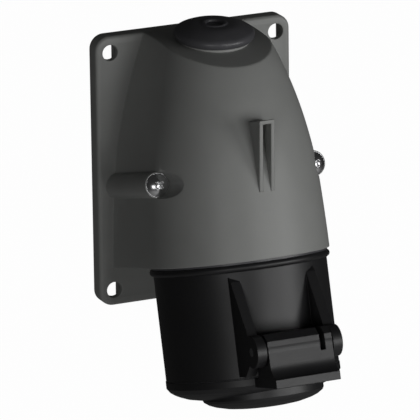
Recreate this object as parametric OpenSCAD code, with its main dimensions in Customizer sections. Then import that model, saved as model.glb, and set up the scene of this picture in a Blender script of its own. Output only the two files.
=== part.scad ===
/* [Wall plate] */
// Width of the wall plate
plate_w = 73.4; // [72.5:0.1:78]
// Height of the wall plate
plate_h = 97.05; // [96:0.05:104]
// Depth of the wall plate from the wall to its face
plate_t = 5.8; // [5.4:0.1:7]
// Radius of the plate's corners
plate_corner_r = 5; // [4:0.2:6.4]
// Rounding of the plate's front edge
plate_edge_r = 1.2; // [0.6:0.1:1.8]
// Wall thickness of the plate's skirt
skirt_wall = 2.7; // [2.2:0.1:3]
// Wall thickness of the skirt's top and bottom
skirt_end = 1.35; // [1.2:0.05:1.6]
// Wall thickness of the plate's face
face_wall = 2.4; // [2:0.1:2.6]
// Distance of the fixing holes from the plate's sides
hole_inset_w = 5.4; // [5:0.1:5.8]
// Distance of the fixing holes from the plate's top and bottom
hole_inset_h = 5.725; // [5.2:0.005:6]
// Diameter of the fixing holes
hole_d = 5.6; // [4.2:0.1:5.6]

/* [Bell] */
// Half width of the bell at its mouth
bell_rim_r = 31.4; // [31.2:0.1:32]
// Half width of the bell at its top
bell_top_r = 18.3; // [16:0.1:19]
// How far the bell's front leans back at its top, beyond the socket's tilt
front_bow = 11.5; // [9:0.1:12]
// How much the bell's flank draws in towards the plate
side_draft = 0.95; // [0.5:0.05:1.2]
// Radius of the bell's crowned top face
crown_r = 143; // [130:1:200]
// Distance of the crown's crest in front of the plate
crown_reach = 6.4; // [4:0.1:8]
// Wall thickness of the bell
bell_wall = 3; // [2.6:0.1:3.4]
// Radius of the soft joint between bell and plate
foot_r = 1.4; // [1:0.1:2]
// Tilt of the socket's axis from the wall in degrees
tilt = 15.2; // [13:0.2:17]
// Distance of the mouth's centre in front of the plate
mouth_reach = 36.35; // [36:0.05:38]
// Height of the mouth's centre below the plate's centre
mouth_drop = 24.915; // [24:0.005:26]

/* [Front rib] */
// Width of the hollow rib on the bell's front
rib_w = 5.2; // [4.6:0.1:6]
// Wall thickness of the hollow rib
rib_wall = 1.2; // [1:0.05:1.4]
// Height of the rib's top above the plate's centre
rib_top = 30.5; // [28:0.1:32]
// Height of the rib's lower end above the plate's centre
rib_foot = 5.2; // [3:0.1:8]
// Depth of the rib's top in front of the bell
rib_depth = 10.2; // [8:0.1:12]

/* [Screw bosses] */
// How far the boss screws stand inside the bell's half width
boss_inset = 2.1; // [1.8:0.05:2.5]
// Height of the boss screws above the mouth, along the socket's axis
boss_rise = 28.7; // [28:0.1:31]
// Outer radius of the screw bosses
boss_r = 4.55; // [4.3:0.05:4.7]
// Distance of the screw seats in front of the socket's axis
boss_seat = 6; // [4:0.1:8]
// Radius of the boss screws' thread
screw_r = 2; // [1.8:0.05:2.2]
// Radius of the boss screws' heads
screw_head_r = 4.15; // [3.8:0.05:4.2]
// Height of the boss screws' domed heads
screw_head_h = 2.4; // [2:0.1:2.8]

/* [Cable grommet] */
// Distance of the cable entry's centre in front of the plate
grommet_reach = 17.7; // [17:0.1:19]
// Radius of the grommet over its bead
grommet_r = 14; // [13.4:0.1:14.4]
// Radius of the bead's round edge
grommet_bead_r = 1.9; // [1.5:0.1:2.2]
// Radius of the flat collar under the grommet
collar_r = 12.4; // [12:0.1:12.8]
// Height of the flat collar above the crowned top
collar_h = 0.3; // [0.2:0.05:0.6]
// Radius of the cable entry hole in the bell's top
entry_r = 10.6; // [10:0.1:11]
// Height of the grommet above its collar
grommet_dome = 6; // [5.6:0.1:7]
// Radius of the grommet's nipple ring
nipple_r = 3.85; // [3:0.05:4.2]

/* [Socket sleeve] */
// Outer radius of the sleeve
sleeve_r = 30; // [29.6:0.1:30.2]
// Wall thickness of the sleeve
sleeve_wall = 3.8; // [3.4:0.1:4]
// Length of the sleeve below the bell
sleeve_len = 39.35; // [38:0.05:40]
// Radius of the bead at the bell's mouth
bead_r = 31.2; // [30.8:0.1:31.6]
// Height of the bead at the bell's mouth
bead_h = 2.4; // [2:0.1:2.8]
// Thickness of the flat seal under the bell
seal_t = 0.7; // [0.5:0.05:1]
// Outer radius of the spigot that enters the bell
spigot_r = 25.4; // [25:0.1:25.8]
// Height of the spigot above the bell's mouth
spigot_h = 10; // [9:0.1:11]

/* [Contacts] */
// Radius of the insulating contact carrier
carrier_r = 20.8; // [20:0.1:21]
// Depth of the carrier's face behind the sleeve's mouth
carrier_recess = 7.5; // [6:0.1:9]
// Radius of the circle that the contacts stand on
contact_circle_r = 12.6; // [12:0.1:13]
// Bore radius of the phase contacts
phase_bore_r = 2.55; // [2.4:0.01:2.7]
// Bore radius of the earth contact
earth_bore_r = 3.55; // [3.4:0.01:3.6]
// Wall thickness of the contact tubes
contact_wall = 1.2; // [1:0.05:1.4]
// Height of the terminals behind the carrier
terminal_h = 11; // [9:0.2:12]

/* [Lid] */
// Distance of the hinge pin from the socket's axis
pin_reach = 38.2; // [38:0.1:39]
// Distance of the hinge pin below the bell's mouth
pin_drop = 30; // [29.6:0.1:30.4]
// Radius of the hinge pin
pin_r = 1.5; // [1.4:0.05:1.7]
// Radius of the hinge ears
ear_r = 5.45; // [5.2:0.05:5.7]
// Half width between the hinge ears
ear_in = 12.3; // [12.1:0.1:12.6]
// Thickness of a hinge ear
ear_t = 3.5; // [3.2:0.1:3.8]
// Distance of a hinge rib's upper end below the bead
rib_lead = 1.6; // [1:0.1:2.5]
// Height of the blunt end on top of a hinge rib
rib_blunt = 1.7; // [1:0.1:2.2]
// Radius of the lid's disc
lid_r = 30.2; // [29.8:0.1:30.4]
// Height of the lid's upright edge
lid_edge_h = 2.4; // [2:0.1:2.8]
// Depth of the lid's dome below its edge
lid_dome = 9.4; // [8:0.1:10]
// Radius of the raised middle under the lid
lid_bump_r = 21; // [19:0.2:21.4]
// Distance of the raised middle in front of the socket's axis
lid_bump_reach = 6.8; // [5:0.1:7.2]
// Wall thickness of the lid
lid_wall = 2.2; // [2:0.1:2.4]
// Gap between the sleeve's end and the lid
lid_gap = 0.35; // [0.3:0.05:0.5]
// Thickness of the lid's lip
lip_t = 2.9; // [2.4:0.1:3.2]
// Distance of the lid's lip from the socket's axis
lip_reach = 47.1; // [46.6:0.1:48]
// Distance of the knuckle's front face from the socket's axis
face_reach = 43.8; // [43.4:0.1:44.4]
// Radius of the hollow between the knuckle's face and the lip
cove_r = 5.2; // [4.6:0.1:6]
// Chamfer on the knuckle's front edge
knuckle_corner = 2.3; // [1.5:0.1:2.6]
// Width of the spring's slot in the knuckle
slot_w = 1.9; // [1.7:0.05:2.1]
// Radius of the spring's wire
wire_r = 0.45; // [0.4:0.01:0.5]

/* [Hidden] */

// Overrun of every cut, slab thickness of hulls, and the clearances
cut = 1;
slab = 0.01;
fit_gap = 0.25;
slide_gap = 0.1;
run_gap = 0.05;

// Bell stations from its top to its rim, as shares of its height
bell_steps = 12;
bell_top_z = plate_h / 2;
mouth_front = mouth_reach + bell_rim_r * cos(tilt);
mouth_front_z = -mouth_drop + bell_rim_r * sin(tilt);
side_curve_share = 1.86;
front_curve_share = 4.2;
step_share = 1.35;
boss_x = bell_rim_r - boss_inset;
crown_z = bell_top_z + crown_r - sqrt(pow(crown_r, 2) - pow(crown_reach, 2));
grommet_turn = asin((grommet_reach - crown_reach) / crown_r);
function up_share(z) = (z - mouth_front_z) / (bell_top_z - mouth_front_z);
function bell_r(z) = bell_rim_r
    - (bell_rim_r - bell_top_r) * pow(max(up_share(z), 0), side_curve_share);
function bell_front(z) = mouth_front - (z - mouth_front_z) * tan(tilt)
    - front_bow * pow(max(up_share(z), 0), front_curve_share);
function station_z(i) = bell_top_z
    + (mouth_front_z - bell_top_z) * pow(i / bell_steps, step_share);

// Where the mouth's plane meets the plate's face
foot_z = -mouth_drop - mouth_reach * tan(tilt);

// Values of the other pieces that several modules share
face_y = -(plate_t - face_wall);
inner_w = plate_w - 2 * hole_inset_w - hole_d;
bead_round = bead_h / 2;
spigot_gap = 0.2;
spigot_bore = carrier_r + spigot_gap;
mouth_bore = spigot_r + spigot_gap;
web_t = seal_t + bead_h;
sleeve_bore = sleeve_r - sleeve_wall;
carrier_flange_t = 2.5;
carrier_flange_r = spigot_r - spigot_gap;
carrier_face = -(sleeve_len - carrier_recess);
carrier_back = spigot_h + carrier_flange_t;
contact_start = carrier_face + 1.5 * contact_wall;
key_w = 8;
key_depth = 2;
liner_wall = 1.6;
insert_wall = 1;
insert_r = screw_r + insert_wall;
recess_r = sleeve_bore - 1.2 * lid_wall;
knuckle_gap = 0.4;
knuckle_w = ear_in - knuckle_gap;
chamber_r = 4.2;
coil_r = 3;
coil_turns = 5;
coil_pitch = 2.6 * wire_r;
slot_inset_share = 1.9;
slot_x = knuckle_w - slot_inset_share * slot_w;

$fn = 64;

// Places children in the socket's frame: up its axis from the mouth's centre, front at -Y
module in_socket() {
    translate([0, -(plate_t + mouth_reach), -mouth_drop]) rotate([-tilt, 0, 0]) children();
}

// Places children on the crown of the bell's top at the cable entry
module on_top() {
    translate([0, -(plate_t + crown_reach), crown_z - crown_r]) rotate([grommet_turn, 0, 0])
        translate([0, 0, crown_r]) children();
}

// Turns a cylinder's axis to the front, away from the wall
module to_front() {
    rotate([90, 0, 0]) children();
}

// Turns a cylinder's axis across the socket
module across() {
    rotate([0, 90, 0]) children();
}

// Section of a plate of width w and depth t with two round front edges
module plate_section(w, t, f) {
    translate([-w / 2 + f, 0]) square([w - 2 * f, t]);
    translate([-w / 2, 0]) square([w, t - f]);
    for (side = [-1, 1]) translate([side * (w / 2 - f), t - f]) circle(r = f);
}

// Plate with round corners and a soft front edge, rising from the wall
module soft_plate(w, h, t, r, f) {
    to_front() {
        linear_extrude(t - f) square([w - 2 * r, h], center = true);
        linear_extrude(t - f) square([w, h - 2 * r], center = true);
        rotate([90, 0, 0]) translate([0, 0, -(h / 2 - r)]) linear_extrude(h - 2 * r)
            plate_section(w, t, f);
        rotate([0, 0, 90]) rotate([90, 0, 0]) translate([0, 0, -(w / 2 - r)])
            linear_extrude(w - 2 * r) plate_section(h, t, f);
        for (x = [-1, 1], z = [-1, 1]) translate([x * (w / 2 - r), z * (h / 2 - r), 0])
            rotate_extrude() {
                square([r - f, t]);
                square([r, t - f]);
                translate([r - f, t - f]) intersection() {
                    circle(r = f);
                    square(f);
                }
            }
    }
}

// Four places of the wall fixings on the plate's face
module at_holes() {
    for (x = [-1, 1], z = [-1, 1])
        translate([x * (plate_w / 2 - hole_inset_w), 0, z * (plate_h / 2 - hole_inset_h)])
            children();
}

// Two places of the boss screws in the socket's frame, axis to the front
module at_bosses() {
    for (side = [-1, 1]) at_boss(side) children();
}

module at_boss(side) {
    in_socket() translate([side * boss_x, 0, boss_rise]) to_front() children();
}

// Convex body of the bell, drawn in by a wall thickness
module bell_body(inset, behind) {
    hull() {
        for (i = [0:bell_steps - 1]) {
            z = station_z(i);
            r = bell_r(z) - inset;
            centre = bell_front(z) - bell_r(z);
            translate([0, -(plate_t + centre), z - slab]) cylinder(r = r, h = slab);
            translate([-(r - side_draft), -plate_t, z - slab])
                cube([2 * (r - side_draft), plate_t + behind, slab]);
        }
        in_socket() translate([0, 0, inset]) cylinder(r = bell_rim_r - inset, h = slab);
        intersection() {
            in_socket() translate([-(bell_rim_r - side_draft - inset), 0, inset])
                cube([2 * (bell_rim_r - side_draft - inset), 2 * bell_rim_r, slab]);
            translate([-plate_w, -plate_w + behind, -plate_h])
                cube([2 * plate_w, plate_w, 2 * plate_h]);
        }
    }
}

// Outline of the bell's foot on the plate, grown by g
module foot_outline(g) {
    side = [for (i = [0:bell_steps]) let (z = station_z(i)) [bell_r(z) - side_draft + g, z]];
    low_r = bell_rim_r - side_draft + g;
    low = [[low_r, foot_z + foot_r - g], [low_r - foot_r, foot_z - g]];
    right = concat(side, low);
    left = [for (i = [len(right) - 1:-1:0]) [-right[i][0], right[i][1]]];
    polygon(concat(right, left));
}

// Soft joint between bell and plate, a quarter round in steps
module foot_blend() {
    steps = 4;
    for (i = [0:steps - 1]) hull() for (k = [i, i + 1]) {
        turn = 90 * k / steps;
        translate([0, -(plate_t - slab) - foot_r * (1 - cos(turn)), 0])
            rotate([90, 0, 0]) linear_extrude(slab) foot_outline(foot_r * (1 - sin(turn)));
    }
}

// Everything above the bell's crowned top face, raised by rise
module above_top(rise) {
    difference() {
        translate([-plate_w, -2 * plate_w, 0]) cube([2 * plate_w, 4 * plate_w, plate_h]);
        translate([0, -(plate_t + crown_reach), crown_z - crown_r]) across()
            cylinder(r = crown_r + rise, h = 4 * plate_w, center = true, $fn = 256);
    }
}

// Side outline of the front rib, drawn in by inset and reaching depth into the bell
module rib_outline(inset, depth) {
    rows = 8;
    top = rib_top - inset;
    reach = bell_front(rib_top) + rib_depth;
    back = [for (i = [0:rows]) let (z = rib_foot + (top - rib_foot) * i / rows)
        [bell_front(z) - depth, z]];
    polygon(concat([[bell_front(rib_foot) - depth, rib_foot - depth]], back,
        [[reach, top], [bell_front(rib_foot), rib_foot]]));
}

// Turns an outline of reach and height into a slab of width w on the middle plane
module side_slab(w) {
    translate([w / 2, -plate_t, 0]) rotate([90, 0, -90]) linear_extrude(w) children();
}

module housing() {
    color("dimgray") difference() {
        union() {
            difference() {
                soft_plate(plate_w, plate_h, plate_t, plate_corner_r, plate_edge_r);
                skirt_room();
            }
            difference() {
                bell_body(0, face_y + slab);
                above_top(0);
            }
            intersection() {
                foot_blend();
                translate([-plate_w / 2, -plate_w, -plate_h / 2]) cube([plate_w, plate_w, plate_h]);
            }
            side_slab(rib_w) rib_outline(0, bell_wall / 2);
            at_bosses() translate([0, 0, -mouth_reach])
                cylinder(r = boss_r, h = mouth_reach + boss_seat);
            on_top() translate([0, 0, -bell_wall / 2])
                cylinder(r = collar_r, h = bell_wall / 2 + collar_h);
        }
        difference() {
            bell_body(bell_wall, cut);
            above_top(-bell_wall);
            at_bosses() translate([0, 0, -2 * mouth_reach])
                cylinder(r = boss_r + liner_wall, h = 4 * mouth_reach);
        }
        side_slab(rib_w - 2 * rib_wall) rib_outline(rib_wall, 0);
        at_bosses() {
            translate([0, 0, boss_seat]) cylinder(r = boss_r, h = mouth_front);
            translate([0, 0, -2 * mouth_reach])
                cylinder(r = screw_r + fit_gap, h = 3 * mouth_reach);
        }
        skirt_room();
        in_socket() {
            translate([0, 0, -cut]) cylinder(r = mouth_bore, h = 2 * bell_wall);
            translate([0, 0, -sleeve_len]) cylinder(r = bead_r + fit_gap, h = sleeve_len);
        }
        on_top() translate([0, 0, -2 * bell_wall]) cylinder(r = entry_r, h = 4 * bell_wall);
        at_holes() to_front() cylinder(r = hole_d / 2, h = plate_t + cut);
    }
}

// Hollow behind the plate's face
module skirt_room() {
    translate([-plate_w / 2 + skirt_wall, face_y, -plate_h / 2 + skirt_end])
        cube([plate_w - 2 * skirt_wall, plate_t, plate_h - 2 * skirt_end]);
}

rear_seal_t = 0.6;
cover_h = plate_h - 2 * (skirt_end + fit_gap);
cover_floor = 1.6;
cover_side = 2;

// Rear outline with its two screw ears, between the depths y0 and y1
module rear_block(y0, y1) {
    translate([-inner_w / 2, y0, -cover_h / 2]) cube([inner_w, y1 - y0, cover_h]);
    boss_bridges(y0, y1);
    intersection() {
        at_bosses() translate([0, 0, -2 * mouth_reach])
            cylinder(r = boss_r - fit_gap, h = 2 * mouth_reach);
        translate([-plate_w / 2 + skirt_wall + fit_gap, y0, -plate_h / 2])
            cube([plate_w - 2 * (skirt_wall + fit_gap), y1 - y0, plate_h]);
    }
}

// Bars that tie the screw ears to the cover's sides, between the depths y0 and y1
module boss_bridges(y0, y1) {
    ear_z = -mouth_drop + boss_rise / cos(tilt) - (plate_t + mouth_reach) * tan(tilt);
    near = min(boss_x, inner_w / 2 - cover_side);
    for (side = [0, 180]) rotate([0, 0, side])
        translate([near, side > 0 ? -y1 : y0, ear_z - boss_r / 2])
            cube([max(boss_x, inner_w / 2 - cover_side) - near, y1 - y0, boss_r]);
}

module rear_cover() {
    color("gray") difference() {
        rear_block(face_y + rear_seal_t, 0);
        difference() {
            translate([-inner_w / 2 + cover_side, face_y, -cover_h / 2 + cover_side])
                cube([inner_w - 2 * cover_side, -face_y - cover_floor, cover_h - 2 * cover_side]);
            at_bosses() translate([0, 0, -2 * mouth_reach])
                cylinder(r = boss_r, h = 2 * mouth_reach);
            boss_bridges(face_y, 0);
        }
        at_bosses() translate([0, 0, -2 * mouth_reach])
            cylinder(r = insert_r, h = 2 * mouth_reach);
    }
}

module rear_gasket() {
    color("black") difference() {
        rear_block(face_y, face_y + rear_seal_t);
        difference() {
            translate([-inner_w / 2 + cover_side, face_y - cut, -cover_h / 2 + cover_side])
                cube([inner_w - 2 * cover_side, plate_t, cover_h - 2 * cover_side]);
            at_bosses() translate([0, 0, -2 * mouth_reach])
                cylinder(r = boss_r, h = 2 * mouth_reach);
            boss_bridges(face_y, 0);
        }
        at_bosses() translate([0, 0, -2 * mouth_reach])
            cylinder(r = screw_r + fit_gap, h = 2 * mouth_reach);
    }
}

module cable_grommet() {
    lip_w = 1.4;
    lip_t = 1.2;
    skin = 1.6;
    ring_r = 0.55;
    ring_sink = 0.2;
    well_depth = 0.9;
    lip_r = entry_r + lip_w;
    lip_top = -bell_wall - slide_gap - pow(lip_r, 2) / (2 * crown_r);
    bead_x = grommet_r - grommet_bead_r;
    bead_z = collar_h + grommet_bead_r;
    top = collar_h + grommet_dome;
    neck_r = entry_r - slide_gap;
    dome_width_share = 0.62;
    dome_fall_share = 0.07;
    color("black") on_top() rotate_extrude() difference() {
        union() {
            translate([0, collar_h]) square([bead_x, grommet_bead_r]);
            translate([bead_x, bead_z]) circle(r = grommet_bead_r);
            polygon([[0, bead_z], [bead_x, bead_z], [bead_x, bead_z + grommet_bead_r],
                [bead_x * dome_width_share, top - grommet_dome * dome_fall_share],
                [nipple_r, top - ring_sink], [0, top - ring_sink]]);
            translate([nipple_r - ring_r, top - ring_r]) circle(r = ring_r);
            translate([0, lip_top - lip_t]) square([neck_r, collar_h + cut - lip_top + lip_t]);
            translate([0, lip_top - lip_t]) square([lip_r, lip_t]);
        }
        translate([0, lip_top - 2 * lip_t]) square([neck_r - skin, top - skin - lip_top + lip_t]);
        translate([0, top - well_depth]) square([nipple_r - 2 * ring_r, well_depth]);
        translate([-grommet_r, lip_top - 2 * lip_t]) square([grommet_r, 2 * plate_t + grommet_dome]);
    }
}

module sleeve_seal() {
    color("black") in_socket() translate([0, 0, -seal_t]) difference() {
        cylinder(r = bead_r - seal_t, h = seal_t);
        translate([0, 0, -cut]) cylinder(r = mouth_bore, h = seal_t + 2 * cut);
    }
}

ear_end = 0.6;

// Side outline of a hinge ear with the rib that runs up the sleeve
module ear_outline() {
    root = sqrt(pow(sleeve_r, 2) - pow(ear_in + ear_t, 2)) - sleeve_wall / 2;
    rib_start = seal_t + bead_h + rib_lead;
    foot = sleeve_len - ear_end;
    tip = [pin_reach - ear_r * sin(tilt), -(pin_drop - ear_r * cos(tilt))];
    polygon([[root, -rib_start + sleeve_wall], [root + sleeve_wall / 2, -rib_start],
        [root + sleeve_wall, -rib_start - rib_blunt], tip,
        [pin_reach, -pin_drop], [pin_reach - ear_r / 2, -(pin_drop + ear_r * sin(60))],
        [pin_reach - 1.3 * ear_r, -foot], [root, -foot]]);
    translate([pin_reach, -pin_drop]) circle(r = ear_r);
}

// Turns an outline of reach and height in the socket's frame into a slab from x0 of width w
module hinge_slab(x0, w) {
    in_socket() translate([x0 + w, 0, 0]) rotate([90, 0, -90]) linear_extrude(w) children();
}

// Mounting ring with bead, web and spigot, and below it the sleeve with its hinge ears
module socket_sleeve() {
    color("darkslategray") difference() {
        union() {
            in_socket() {
                translate([0, 0, -sleeve_len]) cylinder(r = sleeve_r, h = sleeve_len - seal_t);
                translate([0, 0, -seal_t - bead_h]) rotate_extrude() {
                    square([bead_r - bead_round, bead_h]);
                    translate([bead_r - bead_round, bead_round]) circle(r = bead_round);
                }
                translate([0, 0, -seal_t - slab]) cylinder(r = spigot_r, h = spigot_h + seal_t + slab);
            }
            for (x0 = [ear_in, -ear_in - ear_t]) hinge_slab(x0, ear_t) ear_outline();
        }
        in_socket() {
            translate([0, 0, -sleeve_len - cut])
                cylinder(r = sleeve_bore, h = sleeve_len - web_t + cut);
            translate([0, 0, -web_t - run_gap]) cylinder(r = 2 * bead_r, h = run_gap);
            translate([0, 0, -sleeve_len]) cylinder(r = spigot_bore, h = 2 * sleeve_len);
            translate([-key_w / 2, 0, -sleeve_len - cut])
                cube([key_w, sleeve_bore + key_depth, sleeve_len - web_t + cut]);
            translate([0, -pin_reach, -pin_drop]) across()
                cylinder(r = pin_r, h = 4 * ear_in, center = true);
            at_carrier_screws() translate([0, 0, spigot_h - carrier_screw_l + carrier_flange_t])
                cylinder(r = carrier_screw_r, h = carrier_screw_l);
        }
    }
}

module retaining_ring() {
    ring_h = 4;
    ring_r = bell_rim_r - bell_wall - 2 * fit_gap;
    notch_w = 5;
    color("dimgray") in_socket() translate([0, 0, bell_wall]) difference() {
        cylinder(r = ring_r, h = ring_h);
        translate([0, 0, -cut]) cylinder(r = spigot_r + run_gap, h = ring_h + 2 * cut);
        for (turn = [30:60:150]) rotate([0, 0, turn])
            translate([-bell_rim_r, -notch_w / 2, ring_h / 2]) cube([2 * bell_rim_r, notch_w, ring_h]);
    }
}

carrier_screw_r = 1.25;
carrier_screw_l = 8;
carrier_screw_circle = (spigot_r + spigot_bore) / 2;

module at_carrier_screws() {
    for (turn = [45, 225]) rotate([0, 0, turn]) translate([carrier_screw_circle, 0, 0]) children();
}

// Places one contact on its circle, the earth on the wall side
module at_contact(turn) {
    rotate([0, 0, turn]) translate([contact_circle_r, 0, 0]) children();
}

phase_turns = [180, 270, 0];
earth_turn = 90;

module contact_carrier() {
    color("lightgray") in_socket() difference() {
        union() {
            translate([0, 0, carrier_face]) cylinder(r = carrier_r, h = spigot_h - carrier_face);
            translate([0, 0, spigot_h]) cylinder(r = carrier_flange_r, h = carrier_flange_t);
        }
        for (turn = phase_turns) at_contact(turn) contact_seat(phase_bore_r);
        at_contact(earth_turn) contact_seat(earth_bore_r);
        at_carrier_screws() translate([0, 0, spigot_h - cut])
            cylinder(r = carrier_screw_r + slide_gap, h = carrier_flange_t + 2 * cut);
    }
}

// Room of one contact in the carrier: a pin entry and the tube's seat
module contact_seat(bore) {
    translate([0, 0, carrier_face - cut]) cylinder(r = bore + fit_gap, h = carrier_recess + cut);
    translate([0, 0, contact_start])
        cylinder(r = bore + contact_wall + run_gap, h = carrier_back - contact_start + cut);
}

// Contact tube with the clamping terminal behind the carrier
module contact(bore) {
    outer = bore + contact_wall;
    tube_l = 0.6 * (carrier_back - contact_start);
    wire_hole = 2;
    floor_t = 1.5;
    color("gold") difference() {
        translate([0, 0, contact_start]) cylinder(r = outer, h = carrier_back - contact_start + terminal_h);
        translate([0, 0, contact_start - cut]) cylinder(r = bore, h = tube_l + cut);
        translate([0, 0, carrier_back + floor_t]) cylinder(r = wire_hole, h = terminal_h);
        translate([0, 0, carrier_back + terminal_h / 2]) across()
            cylinder(r = terminal_screw_r, h = 2 * outer);
    }
}

terminal_screw_r = 1.5;

module contact_l1() { in_socket() at_contact(phase_turns[0]) contact(phase_bore_r); }
module contact_l2() { in_socket() at_contact(phase_turns[1]) contact(phase_bore_r); }
module contact_l3() { in_socket() at_contact(phase_turns[2]) contact(phase_bore_r); }
module contact_earth() { in_socket() at_contact(earth_turn) contact(earth_bore_r); }

// Steel ring that closes a contact tube's free end on the pin
module clip(bore) {
    clip_h = 3;
    clip_t = 0.6;
    outer = bore + contact_wall;
    translate([0, 0, carrier_back + slide_gap]) difference() {
        cylinder(r = outer + clip_t, h = clip_h);
        translate([0, 0, -cut]) cylinder(r = outer + slide_gap, h = clip_h + 2 * cut);
    }
}

module contact_clips() {
    color("silver") in_socket() {
        for (turn = phase_turns) at_contact(turn) clip(phase_bore_r);
        at_contact(earth_turn) clip(earth_bore_r);
    }
}

// Slotted clamping screw that enters a terminal from the side
module terminal_screw(outer) {
    head_r = 1.3 * terminal_screw_r;
    head_h = 1.6;
    tip = 2.2;
    translate([0, 0, carrier_back + terminal_h / 2]) across() difference() {
        union() {
            translate([0, 0, tip]) cylinder(r = terminal_screw_r - run_gap, h = outer - tip + head_h);
            translate([0, 0, outer + slide_gap]) cylinder(r = head_r, h = head_h);
        }
        translate([-head_r, -wire_r, outer + head_h / 2]) cube([2 * head_r, 2 * wire_r, 2 * head_h]);
    }
}

module terminal_screws() {
    color("silver") in_socket() {
        for (turn = phase_turns) at_contact(turn) terminal_screw(phase_bore_r + contact_wall);
        at_contact(earth_turn) terminal_screw(earth_bore_r + contact_wall);
    }
}

module carrier_screws() {
    head_r = 1.6 * carrier_screw_r;
    head_h = 1.8;
    color("silver") in_socket() at_carrier_screws() difference() {
        union() {
            translate([0, 0, carrier_back - carrier_screw_l])
                cylinder(r = carrier_screw_r - run_gap / 2, h = carrier_screw_l);
            translate([0, 0, carrier_back]) cylinder(r = head_r, h = head_h);
        }
        translate([-head_r, -wire_r, carrier_back + head_h / 2])
            cube([2 * head_r, 2 * wire_r, head_h]);
    }
}

// Length of a boss screw from its seat to the wall side of its insert
screw_l = boss_seat + (mouth_reach - boss_rise * sin(tilt) + plate_t - cover_floor) / cos(tilt);

// Domed screw with a cross recess, seated on its boss and held in the rear cover
module housing_screw() {
    dome_r = (pow(screw_head_r, 2) + pow(screw_head_h, 2)) / (2 * screw_head_h);
    recess_w = 0.9;
    recess_l = 1.1 * screw_head_r;
    recess_h = 1.3;
    translate([0, 0, boss_seat]) difference() {
        union() {
            rotate_extrude() intersection() {
                translate([0, screw_head_h - dome_r]) circle(r = dome_r);
                square([screw_head_r, screw_head_h]);
            }
            translate([0, 0, -screw_l]) cylinder(r = screw_r, h = screw_l);
        }
        for (turn = [45, 135]) rotate([0, 0, turn])
            translate([-recess_l / 2, -recess_w / 2, screw_head_h - recess_h])
                cube([recess_l, recess_w, recess_h + cut]);
    }
}

module housing_screw_left() { color("silver") at_boss(-1) housing_screw(); }
module housing_screw_right() { color("silver") at_boss(1) housing_screw(); }

// Threaded bushes in the rear cover's ears
module screw_inserts() {
    color("gold") difference() {
        intersection() {
            at_bosses() translate([0, 0, -2 * mouth_reach]) cylinder(r = insert_r, h = 2 * mouth_reach);
            translate([-plate_w, face_y + rear_seal_t, -plate_h])
                cube([2 * plate_w, -face_y - rear_seal_t, 2 * plate_h]);
        }
        at_bosses() translate([0, 0, -2 * mouth_reach])
            cylinder(r = screw_r, h = 2 * mouth_reach);
    }
}

module hinge_pin() {
    color("silver") in_socket() translate([0, -pin_reach, -pin_drop]) across()
        cylinder(r = pin_r, h = 2 * (ear_in + ear_t), center = true);
}

// Points of the spring's centre line: the leg on the sleeve, the coil, the leg in the lid
coil_end = slot_x - (coil_turns + 0.25) * coil_pitch;
coil_step = 22.5;
leg_l = 1.6 * coil_r;
fixed_leg = [[slot_x, -(sleeve_r + wire_r + slide_gap), -(pin_drop - coil_r) - wire_r],
    [slot_x, -(pin_reach - coil_r / 2), -(pin_drop - coil_r)]];
coil_path = [for (i = [0:(coil_turns + 0.25) * 360 / coil_step]) let (a = i * coil_step)
    [slot_x - coil_pitch * a / 360, -(pin_reach + coil_r * sin(a)), -pin_drop + coil_r * cos(a)]];
moving_leg = [[coil_end, -(pin_reach + coil_r), -(pin_drop + leg_l / 2)],
    [coil_end, -(pin_reach + coil_r), -(pin_drop + leg_l)]];
spring_path = concat(fixed_leg, coil_path, moving_leg);

function unit(v) = v / norm(v);
function along(p, i) = unit(p[min(i + 1, len(p) - 1)] - p[max(i - 1, 0)]);

// Wire of radius r carried along the points of p, with sides faces
module wire(p, r, sides) {
    rings = [for (i = [0:len(p) - 1]) let (t = along(p, i), s = unit(cross(t, [1, 0.2, 0.1])),
        u = cross(t, s)) for (k = [0:sides - 1]) let (a = 360 * k / sides)
        p[i] + r * (s * cos(a) + u * sin(a))];
    n = len(p);
    skin = [for (i = [0:n - 2], k = [0:sides - 1]) let (k2 = (k + 1) % sides)
        [i * sides + k, i * sides + k2, (i + 1) * sides + k2, (i + 1) * sides + k]];
    ends = [[for (k = [sides - 1:-1:0]) k], [for (k = [0:sides - 1]) (n - 1) * sides + k]];
    polyhedron(points = rings, faces = concat(skin, ends));
}

module lid_spring() {
    color("silver") in_socket() wire(spring_path, wire_r, 8);
}

// Radii and depths of the lid's underside and of its raised middle, from the edge inwards
lid_shares = [1, 0.964, 0.917, 0.864, 0.788, 0.695, 0];
lid_fall_shares = [0.203, 0.33, 0.415, 0.483, 0.559, 0.61, 0.636];
bump_shares = [1, 0.98, 0.905, 0.81, 0.643, 0.5, 0.286, 0];
bump_fall_shares = [0.627, 0.695, 0.788, 0.856, 0.932, 0.966, 0.992, 1];
lid_depth = lid_edge_h + lid_dome;

// Half section of a disc under the lid, drawn in by a wall thickness
function lid_section(r, shares, fall_shares, inset) = concat([[0, 0], [r - inset, 0]],
    [for (i = [0:len(shares) - 1]) [max(r * shares[i] - inset, 0),
        -(lid_depth * fall_shares[i] - (i > 0 ? inset : inset / 2))]]);

// The lid's disc with its raised middle, from its upper face down
module lid_disc(inset) {
    rotate_extrude() polygon(lid_section(lid_r, lid_shares, lid_fall_shares, inset));
    translate([0, -lid_bump_reach, 0]) rotate_extrude()
        polygon(lid_section(lid_bump_r, bump_shares, bump_fall_shares, inset));
}

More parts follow.
